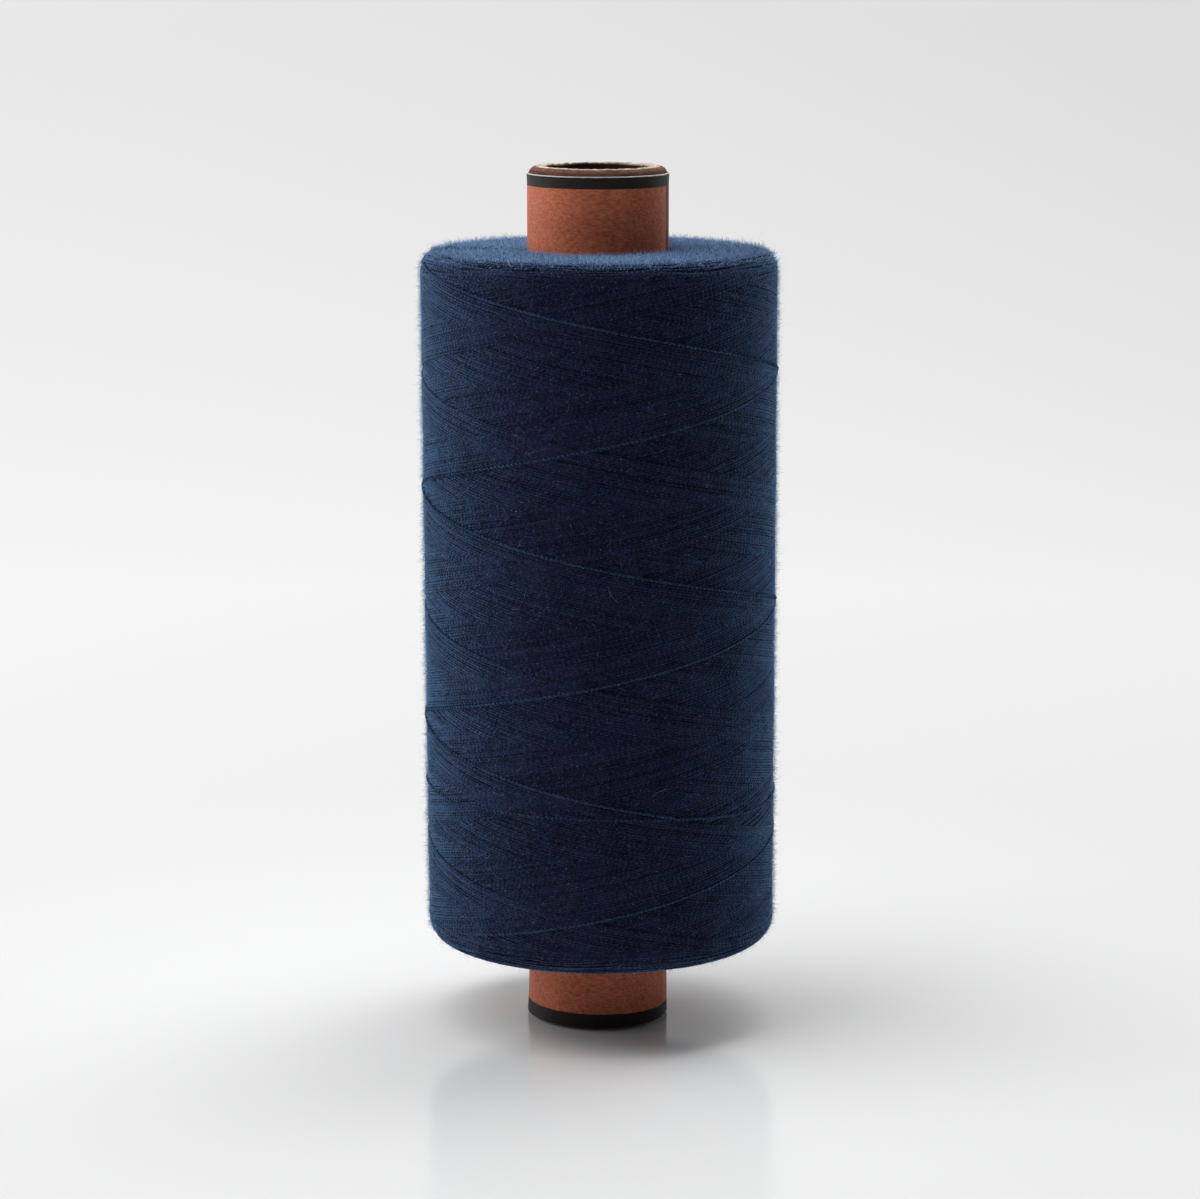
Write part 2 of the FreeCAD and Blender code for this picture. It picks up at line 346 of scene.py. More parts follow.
def boardFinish(name, dark, light, edgeTone, wornDepth, spiralPitch, spiralStart):
    material, tree, shader = newMaterial(name)
    place = objectPlace(tree)
    # fibres of the paper: noise drawn out round the tube
    stretch = addNode(tree, "Mapping", {"Vector": place, "Scale": (1.0, 1.0, 3.2)})
    fibre = noise(tree, stretch.outputs[0], 2600, 4, 0.62)
    blotch = noise(tree, place, 420, 3)
    tone = scaleAdd(tree, fibre, 0.6, mathNode(tree, "MULTIPLY", blotch, 0.45))
    paper = colorRamp(tree, tone, [(0.36, dark), (0.72, light)])
    # worn ends are paler: height over the foot and under the top
    split = splitAxes(tree, place)
    fromTop = mathNode(tree, "SUBTRACT", tube["length"] * mm, split["Z"])
    toEnd = mathNode(tree, "MINIMUM", fromTop, split["Z"])
    worn = scaleAdd(tree, blotch, 0.0004, toEnd)
    wornShare = mapRange(tree, worn, (wornDepth + 0.35) * mm, (wornDepth + 0.15) * mm)
    tornTone = colorRamp(tree, noise(tree, place, 1700, 3, 0.6),
                         [(0.36, tuple(c * 0.45 for c in edgeTone[:3]) + (1,)), (0.56, edgeTone)])
    color = mixColors(tree, wornShare, paper, tornTone)
    # strips wound in a spiral: a fine butt line round the wall
    angle = mathNode(tree, "ARCTAN2", split["Y"], split["X"])
    climb = scaleAdd(tree, angle, spiralPitch / 2 / math.pi * mm, split["Z"])
    turn = mathNode(tree, "ADD", mathNode(tree, "DIVIDE", climb, spiralPitch * mm), spiralStart)
    offButt = mathNode(tree, "SUBTRACT", mathNode(tree, "FRACT", turn), 0.5)
    butt = mathNode(tree, "LESS_THAN", mathNode(tree, "ABSOLUTE", offButt), 0.06 / spiralPitch)
    color = mixColors(tree, mathNode(tree, "MULTIPLY", butt, 0.55), color,
                      tuple(c * 0.35 for c in dark[:3]) + (1,))
    fillInputs(tree, shader, {"Base Color": color, "Roughness": 0.82, "Specular IOR Level": 0.2})
    relief = mathNode(tree, "SUBTRACT", fibre, mathNode(tree, "MULTIPLY", butt, 0.8))
    addBump(tree, shader, relief, 0.55, 0.00006)
    return material


linerBoard = boardFinish("linerBoardFinish", (0.010, 0.0024, 0.0016, 1),
                         (0.026, 0.0070, 0.0048, 1), (0.74, 0.60, 0.47, 1), 0.10, 27, 0.3)
paleBoard = boardFinish("paleBoardFinish", (0.300, 0.215, 0.140, 1),
                        (0.500, 0.390, 0.275, 1), (0.80, 0.66, 0.52, 1), 0.5, 31, 0.6)
midBoard = boardFinish("midBoardFinish", (0.130, 0.062, 0.040, 1),
                       (0.330, 0.190, 0.120, 1), (0.55, 0.40, 0.29, 1), 0.12, 31, 0.1)
darkBoard = boardFinish("darkBoardFinish", (0.045, 0.014, 0.009, 1),
                        (0.140, 0.058, 0.038, 1), (0.200, 0.095, 0.065, 1), 0.25, 31, 0.1)

tubePlies = [
    # piece, node, its finish and its share of the wear
    ("tubeLiner", "tube_liner", linerBoard, 1.0),
    ("tubeInnerPly", "tube_inner_ply", paleBoard, 1.0),
    ("tubeMiddlePly", "tube_middle_ply", midBoard, 0.8),
    ("tubeOuterPly", "tube_outer_ply", darkBoard, 0.4),
    ("tubeFacing", "tube_facing", darkBoard, 0.3),
]

tubeChance = np.random.default_rng(tube["seed"])
turnAngles = np.linspace(0, 2 * math.pi, tube["edgeSteps"], endpoint=False)


def raggedEdge():
    # A worn paper edge: how far it is down at each angle, from long waves and short tears
    edge = np.zeros(tube["edgeSteps"])
    for waves in range(*tube["frayWaves"]):
        size = tubeChance.normal(0, 1) / waves ** 0.35
        edge += size * np.sin(waves * turnAngles + tubeChance.random() * 6.28)
    edge = (edge - edge.min()) / (edge.max() - edge.min())
    return edge ** 2.2


for number, (pieceName, nodeName, finish, wear) in enumerate(tubePlies):
    inner = tube["bore"] + number * tube["plyThick"]
    outer = inner + tube["plyThick"]
    radii = np.linspace(inner, outer, 7)
    drops = [endDrop(r) for r in radii]
    drops[0] += tube["edgeGroove"] if number else 0
    drops[-1] += tube["edgeGroove"] if number < tube["plyCount"] - 1 else 0
    upper = [(r, tube["length"] - d) for r, d in zip(radii, drops)]
    lower = [(r, d) for r, d in zip(radii, drops)]
    outerWall = [(outer, z) for z in tube["wallRows"]]
    innerWall = [(inner, z) for z in tube["wallRows"][::-1]]
    ply = turnProfile(pieceName, lower + outerWall + upper[::-1] + innerWall, tube["segments"])
    topEdge, footEdge = raggedEdge(), raggedEdge()
    amount = tube["fray"] * wear * mm
    for vertex in ply.data.vertices:
        share = (math.atan2(vertex.co.y, vertex.co.x) % (2 * math.pi)) / (2 * math.pi)
        at = int(share * tube["edgeSteps"]) % tube["edgeSteps"]
        high = max(0.0, 1 - (tube["length"] * mm - vertex.co.z) / (tube["frayReach"] * mm))
        low = max(0.0, 1 - vertex.co.z / (tube["frayReach"] * mm))
        vertex.co.z -= high * topEdge[at] * amount
        vertex.co.z += low * footEdge[at] * amount * tube["frayAtFoot"]
    smoothOver(ply)
    finishPiece(ply, finish, "tube_board", nodeName)
print("tube plies turned")

# Printed wrap: a sheet once round the tube and lapped over its own start

wrap = {
    "thick": 0.14,
    "inside": 6.75,
    "foot": 0.35,
    "top": 84.33,
    "startAngle": 24.4,    # its first end, under the lap
    "endTop": 428.6,       # its second end on top, a little out of square
    "endFoot": 423.7,
    "ramp": 9.0,           # degrees over which it climbs on to its start
    "lapGap": 0.002,
    "flareTop": 0.05,      # the top edge stands out from here up
    "flareFrom": 83.2,
    "looseFoot": 0.13,     # the foot edge stands off the tube, most of all at one side
    "looseHeight": 6.5,
    "looseAt": -86,
    "bulge": 0.05,         # and once more in a short bulge
    "bulgeHeight": 2.2,
    "bulgeAt": 272,
    "bulgeWidth": 9,
    "underThread": 7.04,   # the radius that the thread leaves it, between two heights
    "threadFrom": 8.0,
    "threadTo": 77.0,
    "columns": 190,
    "rows": 84,
    "copper": (0.680, 0.212, 0.112, 1),
    "copperDeep": (0.440, 0.102, 0.050, 1),
    "wine": (0.150, 0.010, 0.012, 1),
    "wineEdge": 0.105,     # share of the sheet that is in wine, at the foot
    "wineSlant": 0.047,
    "ink": (0.020, 0.017, 0.015, 1),
    "inkRubbed": (0.055, 0.048, 0.045, 1),
    "topBand": 83.22,      # black bands above this height and below the next one
    "footBand": 1.74,
    "footBandTilt": 0.014,
    "bare": (0.70, 0.68, 0.64, 1),
    "bareEdge": 0.02,
}


def wrapMaterial():
    w = wrap
    material, tree, shader = newMaterial("printedPaperFinish")
    place = objectPlace(tree)
    split = splitAxes(tree, place)
    sheetSplit = splitAxes(tree, addNode(tree, "UVMap", uv_map="sheetMap").outputs["UV"])
    grain = noise(tree, place, 2400, 4, 0.6)
    blotch = noise(tree, place, 300, 3)
    lay = addNode(tree, "Mapping", {"Vector": place, "Rotation": (0, math.radians(33), 0),
                                    "Scale": (0.28, 1.0, 1.0)})
    slanted = noise(tree, lay.outputs[0], 5200)
    tone = scaleAdd(tree, grain, 0.25, mathNode(tree, "MULTIPLY", blotch, 0.2))
    tone = scaleAdd(tree, slanted, 0.55, tone)
    paper = colorRamp(tree, tone, [(0.38, w["copperDeep"]), (0.62, w["copper"])])
    # the first end of the sheet, past the lap's edge, is coloured a deep wine tone, wider at the top
    # than at the foot and out of square like the lap
    slant = scaleAdd(tree, sheetSplit["Y"], w["wineSlant"], w["wineEdge"])
    wineShare = mathNode(tree, "LESS_THAN", sheetSplit["X"], slant)
    paper = mixColors(tree, wineShare, paper, w["wine"])
    # black bands at both ends, with slightly uneven ink edges
    uneven = scaleAdd(tree, grain, 0.00012, split["Z"])
    tilt = scaleAdd(tree, split["X"], w["footBandTilt"], uneven)
    topBand = mathNode(tree, "GREATER_THAN", uneven, w["topBand"] * mm)
    footBand = mathNode(tree, "LESS_THAN", tilt, w["footBand"] * mm)
    ink = mixColors(tree, mapRange(tree, grain, 0.56, 0.72, 0.0, 0.22), w["ink"], w["inkRubbed"])
    paper = mixColors(tree, mathNode(tree, "MAXIMUM", topBand, footBand), paper, ink)
    cutEdge = mathNode(tree, "GREATER_THAN", uneven, (w["top"] - w["bareEdge"]) * mm)
    paper = mixColors(tree, cutEdge, paper, w["bare"])
    fillInputs(tree, shader, {"Base Color": paper, "Specular IOR Level": 0.15,
                              "Roughness": mapRange(tree, blotch, 0.3, 0.7, 0.48, 0.62)})
    relief = scaleAdd(tree, grain, 0.12, noise(tree, place, 110))
    addBump(tree, shader, relief, 0.5, 0.00012)
    return material


def sheetRadius(angle, z):
    # The sheet's outer side, with its lap and the places where its edges stand off the tube
    w = wrap
    lapped = (angle - (360 + w["startAngle"] - w["ramp"])) / w["ramp"]
    radius = w["inside"] + w["thick"]
    radius += (w["thick"] + w["lapGap"]) * min(1.0, max(0.0, lapped))
    flared = max(0.0, (z - w["flareFrom"]) / (w["top"] - w["flareFrom"]))
    radius += w["flareTop"] * flared ** 2
    loose = 0.5 + 0.5 * math.cos(math.radians(angle - w["looseAt"]))
    standsOff = max(0.0, 1 - (z - w["foot"]) / w["looseHeight"]) ** 1.5
    radius += w["looseFoot"] * standsOff * (0.35 + 0.65 * loose)
    bulges = max(0.0, 1 - (z - w["foot"]) / w["bulgeHeight"])
    radius += w["bulge"] * bulges * math.exp(-((angle - w["bulgeAt"]) / w["bulgeWidth"]) ** 2)
    return min(radius, w["underThread"]) if w["threadFrom"] < z < w["threadTo"] else radius


deselectAll()
bpy.ops.mesh.primitive_grid_add(x_subdivisions=wrap["columns"], y_subdivisions=wrap["rows"],
                                size=1)
sheet = bpy.context.object
sheet.name = sheet.data.name = "printedWrap"
sheet.data.uv_layers[0].name = "sheetMap"
for vertex in sheet.data.vertices:
    across, up = vertex.co.x + 0.5, vertex.co.y + 0.5
    end = wrap["endFoot"] + (wrap["endTop"] - wrap["endFoot"]) * up
    angle = wrap["startAngle"] + (end - wrap["startAngle"]) * across
    z = wrap["foot"] + (wrap["top"] - wrap["foot"]) * up
    radius, a = sheetRadius(angle, z), math.radians(angle)
    vertex.co = (radius * math.sin(a) * mm, -radius * math.cos(a) * mm, z * mm)
makeActive(sheet)
bpy.ops.object.mode_set(mode="EDIT")
bpy.ops.mesh.select_all(action="SELECT")
if sheet.data.polygons[0].normal.dot(sheet.data.polygons[0].center) < 0:
    bpy.ops.mesh.flip_normals()
bpy.ops.object.mode_set(mode="OBJECT")
paperBody = sheet.modifiers.new("Solidify", "SOLIDIFY")
paperBody.thickness = wrap["thick"] * mm
paperBody.offset = -1
paperBody.use_even_offset = True
bpy.ops.object.modifier_apply(modifier=paperBody.name)
smoothOver(sheet)
finishPiece(sheet, wrapMaterial(), "label_paper", "printed_wrap")
print("wrap lapped round")

# Thread package: its outline, walked from the foot's inner edge to the top's inner edge

package = {
    "boreRadius": 7.05,
    "foot": 8.3,
    "top": 76.8,
    "lowRadius": 17.18,
    "highRadius": 17.38,
    "lowShoulder": 2.0,
    "highShoulder": 1.65,
    "straightFrom": 11,  # heights between which the flank is straight
    "straightTo": 75,
    "leanFoot": 0.30,    # how far the winding sits off the tube's axis, across
    "leanTop": 0.09,
    "leanOutside": 8.5,  # the radius beyond which it leans
}


def walkOutline():
    p = package
    turn = np.linspace(0, math.pi / 2, 60)
    lowCentre = (p["lowRadius"] - p["lowShoulder"], p["foot"] + p["lowShoulder"])
    highCentre = (p["highRadius"] - p["highShoulder"], p["top"] - p["highShoulder"])
    footFace = np.column_stack([np.linspace(p["boreRadius"], lowCentre[0], 60),
                                np.full(60, p["foot"])])
    lowArc = np.column_stack([lowCentre[0] + p["lowShoulder"] * np.sin(turn),
                              lowCentre[1] - p["lowShoulder"] * np.cos(turn)])
    flank = np.column_stack([np.linspace(p["lowRadius"], p["highRadius"], 200),
                             np.linspace(lowCentre[1], highCentre[1], 200)])
    highArc = np.column_stack([highCentre[0] + p["highShoulder"] * np.cos(turn),
                               highCentre[1] + p["highShoulder"] * np.sin(turn)])
    topFace = np.column_stack([np.linspace(highCentre[0], p["boreRadius"], 60),
                               np.full(60, p["top"])])
    points = np.vstack([footFace, lowArc[1:], flank[1:], highArc[1:], topFace[1:]])
    steps = np.linalg.norm(np.diff(points, axis=0), axis=1)
    walked = np.concatenate([[0], np.cumsum(steps)])
    along = np.gradient(points, walked, axis=0)
    out = np.column_stack([along[:, 1], -along[:, 0]])
    return walked, points, out / np.linalg.norm(out, axis=1)[:, None]


outlineRun, outlinePoints, outlineOut = walkOutline()
outlineHeights = outlinePoints[:, 1]
flankRows = ((outlinePoints[:, 0] > package["lowRadius"] - 0.08)
             & (outlineHeights > package["straightFrom"]) & (outlineHeights < package["straightTo"]))
flankRuns, flankHeights = outlineRun[flankRows], outlineHeights[flankRows]


def runAtHeight(z):
    # The place on the outline for a height on the flank, carried on straight past both ends of it
    slope = (flankRuns[-1] - flankRuns[0]) / (flankHeights[-1] - flankHeights[0])
    return flankRuns[0] + (np.asarray(z) - flankHeights[0]) * slope


def leanAt(height):
    share = (height - package["foot"]) / (package["top"] - package["foot"])
    return package["leanFoot"] + (package["leanTop"] - package["leanFoot"]) * share


def onPackage(angle, run, lift):
    # Centre points and outward directions for angles, places on the outline and lifts off it
    radius = np.interp(run, outlineRun, outlinePoints[:, 0])
    height = np.interp(run, outlineRun, outlineHeights)
    outR = np.interp(run, outlineRun, outlineOut[:, 0])
    outZ = np.interp(run, outlineRun, outlineOut[:, 1])
    size = np.hypot(outR, outZ)
    outR, outZ = outR / size, outZ / size
    radius, height = radius + outR * lift, height + outZ * lift
    a = np.radians(angle)
    points = np.column_stack([radius * np.sin(a) + leanAt(height), -radius * np.cos(a), height])
    outs = np.column_stack([outR * np.sin(a), -outR * np.cos(a), outZ])
    return points, outs


def unit(vectors):
    return vectors / np.maximum(np.linalg.norm(vectors, axis=-1, keepdims=True), 1e-9)


def crossAxes(points, ahead, outs):
    # Directions across a strand: the one that points off the package, and the one beside it
    up = unit(outs - ahead * (outs * ahead).sum(1)[:, None])
    return up, np.cross(ahead, up)


def layStrands(name, strands, sides=6, squash=0.9, tip=1.0, soften=0.5):
    # One mesh of tubes. A strand is its centre points, its outward directions and its width.
    # Map threadRun holds the length along a strand and its number, map OFBake a cell for each step.
    # Spun thread is fuzzy, so its shading is softened: the normals lean to the outward direction.
    counts = np.array([len(s[0]) for s in strands])
    points = np.vstack([s[0] for s in strands])
    outs = np.vstack([s[1] for s in strands])
    widths = np.repeat([s[2] for s in strands], counts)
    number = np.repeat(np.arange(len(strands)), counts)
    total = len(points)
    last = np.cumsum(counts) - 1
    first = last - counts + 1
    onward, back = np.arange(total) + 1, np.arange(total) - 1
    onward[last], back[first] = last, first
    up, side = crossAxes(points, unit(points[onward] - points[back]), outs)
    place = (np.arange(total) - first[number]) / np.maximum(counts[number] - 1, 1)
    half = widths / 2 * (1 + (tip - 1) * place)
    around = np.arange(sides) * 2 * math.pi / sides
    cosine, sine = np.cos(around)[None, :, None], np.sin(around)[None, :, None]
    ring = up[:, None, :] * cosine + side[:, None, :] * sine
    flat = up[:, None, :] * (squash * cosine) + side[:, None, :] * sine
    coords = points[:, None, :] + flat * half[:, None, None]
    normals = unit(ring * (1 - soften) + outs[:, None, :] * soften).reshape(-1, 3)
    length = np.cumsum(np.linalg.norm(points - points[back], axis=1))
    length -= length[first][number]

    i = np.repeat(np.setdiff1d(np.arange(total), last), sides)
    j = np.tile(np.arange(sides), total - len(strands))
    k = (j + 1) % sides
    quads = np.column_stack([i * sides + j, i * sides + k, (i + 1) * sides + k, (i + 1) * sides + j])
    caps = np.vstack([first[:, None] * sides + np.arange(sides - 1, -1, -1)[None, :],
                      last[:, None] * sides + np.arange(sides)[None, :]])
    corner = np.column_stack([j, j + 1, j + 1, j]) / sides
    runMap = np.stack([np.column_stack([length[i], length[i], length[i + 1], length[i + 1]]),
                       number[i][:, None] + corner * 0.98], axis=2)
    cells = np.repeat(np.arange(total - len(strands)), sides)
    columns = max(1, round(math.sqrt(len(cells) / sides / 2.6)))
    rows = math.ceil(len(cells) / sides / columns)
    left, low = (cells % columns) / columns, (cells // columns) / rows
    wide = np.column_stack([left, left, left + 1 / columns, left + 1 / columns])
    bakeMap = np.stack([wide, low[:, None] + (0.06 + 0.88 * corner) / rows], axis=2)

    mesh = bpy.data.meshes.new(name)
    corners = np.concatenate([quads.ravel(), caps.ravel()])
    starts = np.concatenate([np.arange(len(quads)) * 4,
                             len(quads) * 4 + np.arange(len(caps)) * sides])
    mesh.vertices.add(total * sides)
    mesh.vertices.foreach_set("co", (coords * mm).ravel())
    mesh.loops.add(len(corners))
    mesh.loops.foreach_set("vertex_index", corners.astype(np.int32))
    mesh.polygons.add(len(starts))
    mesh.polygons.foreach_set("loop_start", starts.astype(np.int32))
    mesh.update(calc_edges=True)
    for mapName, values in (("threadRun", runMap), ("OFBake", bakeMap)):
        layer = mesh.uv_layers.new(name=mapName)
        layer.data.foreach_set("uv", np.concatenate([values.ravel(), np.zeros(caps.size * 2)]))
    mesh.shade_smooth()
    mesh.normals_split_custom_set_from_vertices(normals.tolist())
    piece = bpy.data.objects.new(name, mesh)
    bpy.context.scene.collection.objects.link(piece)
    print(name, len(strands), "strands", len(quads) * 2 + len(caps) * (sides - 2), "triangles")
    return piece


# Thread finish

threadLook = {
    "deep": (0.0064, 0.0058, 0.0158, 1),
    "pale": (0.0210, 0.0192, 0.0530, 1),
    # the last passes get a paler copy of the thread's tones: painted light, for the light they catch
    # standing proud
    "litLastDeep": (0.0100, 0.0160, 0.0400, 1),
    "litLastPale": (0.0330, 0.0480, 0.1000, 1),
    # the inner body gets a darker copy of the thread's tones and less sheen: painted shade between the
    # strands
    "shadedCoreDeep": (0.0025, 0.0038, 0.0110, 1),
    "shadedCorePale": (0.0070, 0.0105, 0.0300, 1),
    "dyeSpread": (0.9, 0.8, 0.7),    # the dye's colour is this times noise, and the next one
    "dyeBase": (0.55, 0.60, 0.65),
    "sheenTint": (0.23, 0.55, 1.0, 1),
    "sheenRoughness": 0.41,
    "shadedCoreSheen": 0.5,
    "glossTint": (0.35, 0.60, 1.0, 1),
    "ridges": 2.0,      # in each millimetre of strand
    "beadTurn": 1.08,   # millimetres of strand for a turn of the two real plies
    # painted highlight and shade along each ply's turns
    "paintedPlyLight": 0.14,
    # painted shade: how much the tone falls from a strand's crown to its sides, and what is taken off
    # it
    "creviceShade": (0.7, 0.56),
    "beadCreviceShade": (0.40, 0.25),
}


def threadFinish(name, deep, pale, sheen=1.0, alongMap=True, beads=False):
    t = threadLook
    material, tree, shader = newMaterial(name)
    fillInputs(tree, shader, {"Roughness": 0.8, "Specular IOR Level": 0.12,
                              "Specular Tint": t["glossTint"], "Sheen Tint": t["sheenTint"],
                              "Sheen Roughness": t["sheenRoughness"]})
    place = objectPlace(tree)
    speckle = noise(tree, place, 4200, 4, 0.7)
    tone = scaleAdd(tree, speckle, 1.5, scaleAdd(tree, noise(tree, place, 380), 0.4, -0.45))
    if alongMap:
        split = splitAxes(tree, addNode(tree, "UVMap", uv_map="threadRun").outputs["UV"])
        strandNumber = mathNode(tree, "FLOOR", split["Y"])
        perStrand = addNode(tree, "TexWhiteNoise", {"W": strandNumber},
                            noise_dimensions="1D").outputs["Value"]
        tone = scaleAdd(tree, perStrand, 0.2, mathNode(tree, "SUBTRACT", tone, 0.1))
        # two plies: slanted ridges in the bump, with painted shade in the groove between them
        twist = scaleAdd(tree, split["X"], t["ridges"],
                         scaleAdd(tree, perStrand, 7.0, split["Y"]))
        ridge = mathNode(tree, "PINGPONG", twist, 0.5)
        tone = scaleAdd(tree, ridge, 0.3, mathNode(tree, "SUBTRACT", tone, 0.075))
        if beads:  # the last strands have real plies, with a painted highlight where each comes out on top and painted shade where it goes under
            turned = mathNode(tree, "MULTIPLY", split["X"], 2 * math.pi / t["beadTurn"])
            turned = scaleAdd(tree, strandNumber, math.pi, turned)
            tone = scaleAdd(tree, mathNode(tree, "COSINE", turned), t["paintedPlyLight"], tone)
        # and painted shade where a strand lies against the next one
        around = mathNode(tree, "MULTIPLY", mathNode(tree, "FRACT", split["Y"]), 2 * math.pi)
        depth, dimmer = t["beadCreviceShade"] if beads else t["creviceShade"]
        tone = scaleAdd(tree, mathNode(tree, "COSINE", around), depth,
                        mathNode(tree, "SUBTRACT", tone, dimmer))
        addBump(tree, shader, scaleAdd(tree, speckle, 1.1, ridge), 0.7, 0.0001)
    # the dye is not quite even, and the sheen is that of the fibres on the crests
    dye = noise(tree, place, 620, output="Color")
    uneven = addNode(tree, "VectorMath", {0: dye, 1: t["dyeSpread"], 2: t["dyeBase"]},
                     operation="MULTIPLY_ADD").outputs["Vector"]
    plain = colorRamp(tree, tone, [(0.34, deep), (0.72, pale)])
    dyed = addNode(tree, "VectorMath", {0: plain, 1: uneven}, operation="MULTIPLY")
    fillInputs(tree, shader, {"Base Color": dyed.outputs["Vector"],
                              "Sheen Weight": mapRange(tree, tone, 0.26, 0.68, 0.0, sheen)})
    return material


woundFinish = threadFinish("woundThreadFinish", threadLook["deep"], threadLook["pale"])
# a paler copy of the thread's finish for the last passes: painted light
litLastFinish = threadFinish("litLastThreadFinish", threadLook["litLastDeep"], threadLook["litLastPale"],
                          beads=True)
# a darker copy of the thread's finish for the inner body: painted shade
shadedCoreFinish = threadFinish("shadedInnerThreadFinish", threadLook["shadedCoreDeep"], threadLook["shadedCorePale"],
                          threadLook["shadedCoreSheen"], alongMap=False)

# Inner body of the package, which only shows between the strands, in a darker copy of the thread's
# finish: painted shade

core = {"below": 0.18, "segments": 180, "rowStep": 8}

inset = outlinePoints - outlineOut * core["below"]
inset[:, 0] = np.maximum(inset[:, 0], package["boreRadius"])
keep = np.unique(np.append(np.arange(0, len(inset), core["rowStep"]), len(inset) - 1))
innerBody = turnProfile("innerThread", [tuple(p) for p in inset[keep]], core["segments"])
for vertex in innerBody.data.vertices:
    if math.hypot(vertex.co.x, vertex.co.y) > package["leanOutside"] * mm:
        vertex.co.x += leanAt(vertex.co.z / mm) * mm
smoothOver(innerBody, 50)
finishPiece(innerBody, shadedCoreFinish, "thread", "wound_thread")
print("inner body turned")

# Outer layer: two crossing families of strands, newest at the edge of each band

winding = {
    "pitch": 22.8,        # climb of one turn
    "spacing": 0.265,     # between neighbours, up the flank
    "downEdge": 70.9,     # height of the newest downward strand at the front
    "upEdge": 14.03,      # and of the newest upward one
    "besideEdge": 0.06,   # between the newest strand and the band
    "thick": 0.295,
    "pressedIn": 0.06,    # how far a band's newest strand lies under the outline
    "stepDown": 0.13,     # how much lower the oldest strand of a band lies
    "endDip": 0.13,       # how far a strand's end sinks under the strands that cross it
    "runsOn": 0.4,        # how far a strand goes on under the ones that cross it
    "perTurn": 72,
    "lowTurn": 10.2,      # strands fade into the shoulder rows outside these heights
    "highTurn": 75.3,
    "sunk": 0.03,         # share of strands pressed in under their neighbours
    "sunkBy": 0.035,
    "jitter": {"offset": 0.012, "lift": 0.008, "width": 0.05},
    "waves": [(0.020, 0.7), (0.012, 2.3)],  # size, and number in a turn
    "seed": 7,
}
chance = np.random.default_rng(winding["seed"])


def bandStrands(goesUp):
    w = winding
    half = w["pitch"] / 2
    turns = (w["highTurn"] - w["lowTurn"]) / w["pitch"] + 1
    strands = []
    for strandSet in (0, 1):
        for k in range(1, int(half / w["spacing"])):
            offset = w["besideEdge"] + k * w["spacing"] + chance.normal(0, w["jitter"]["offset"])
            lift = -w["pressedIn"] - w["stepDown"] * offset / half
            lift += chance.normal(0, w["jitter"]["lift"])
            lift -= w["sunkBy"] * (chance.random() < w["sunk"])
            width = w["thick"] * (1 + chance.normal(0, w["jitter"]["width"]))
            back = strandSet * half
            behind = w["lowTurn"] - w["upEdge"] if goesUp else w["downEdge"]
            phase = (behind - offset - back - (0 if goesUp else w["highTurn"])) / w["pitch"] * 360
            angle = phase + np.arange(0, turns * 360, 360 / w["perTurn"])
            climb = w["pitch"] * angle / 360
            if goesUp:
                height = w["upEdge"] + offset + back + climb
                other = w["downEdge"] - climb - height
            else:
                height = w["downEdge"] - offset - back - climb
                other = height - w["upEdge"] - climb
            shown = np.mod(other, half) > offset - w["runsOn"]
            shown &= (height > w["lowTurn"]) & (height < w["highTurn"])
            for _ in range(2):
                shown[1:-1] |= shown[:-2] | shown[2:]
            for size, rate in w["waves"]:
                tilt = chance.normal(0, size)
                height = height + tilt * np.sin(np.radians(angle * rate + chance.random() * 360))
            runs = runAtHeight(height)
            edges = np.flatnonzero(np.diff(np.concatenate([[0], shown.astype(int), [0]])))
            for a, b in zip(edges[::2], edges[1::2]):
                if b - a > 3:
                    fromEnd = np.minimum(np.arange(b - a), np.arange(b - a)[::-1])
                    dip = np.interp(fromEnd, [0, 1, 2], [1, 0.55, 0]) * w["endDip"]
                    strands.append((*onPackage(angle[a:b], runs[a:b], lift - dip), width))
    return strands


for pieceName, goesUp in (("upwardBands", True), ("downwardBands", False)):
    band = layStrands(pieceName, bandStrands(goesUp), squash=0.85, soften=0.1)
    finishPiece(band, woundFinish, "thread")

# Shoulders and end faces: rows of the arcs in which strands turned back

turnBacks = {
    "rowStep": 0.20,
    "overBands": 0.6,    # how far the rows reach over the ends of the bands
    "toTube": 0.1,
    "thick": 0.29,
    "arcs": (26, 80),    # angles they span, at the middle radius
    "middleRadius": 17,
    "rounds": 1.25,      # of arcs in a row
    "stepOn": 0.78,      # from the start of an arc to the next one, as a share of its span
    "dip": 0.7,          # how far an arc's ends fall back from its middle
    "wave": 0.06,
    "pressedIn": 0.10,
    "liftJitter": 0.035,
    "endsUnder": 0.10,
    "stepAngle": 6.5,
}


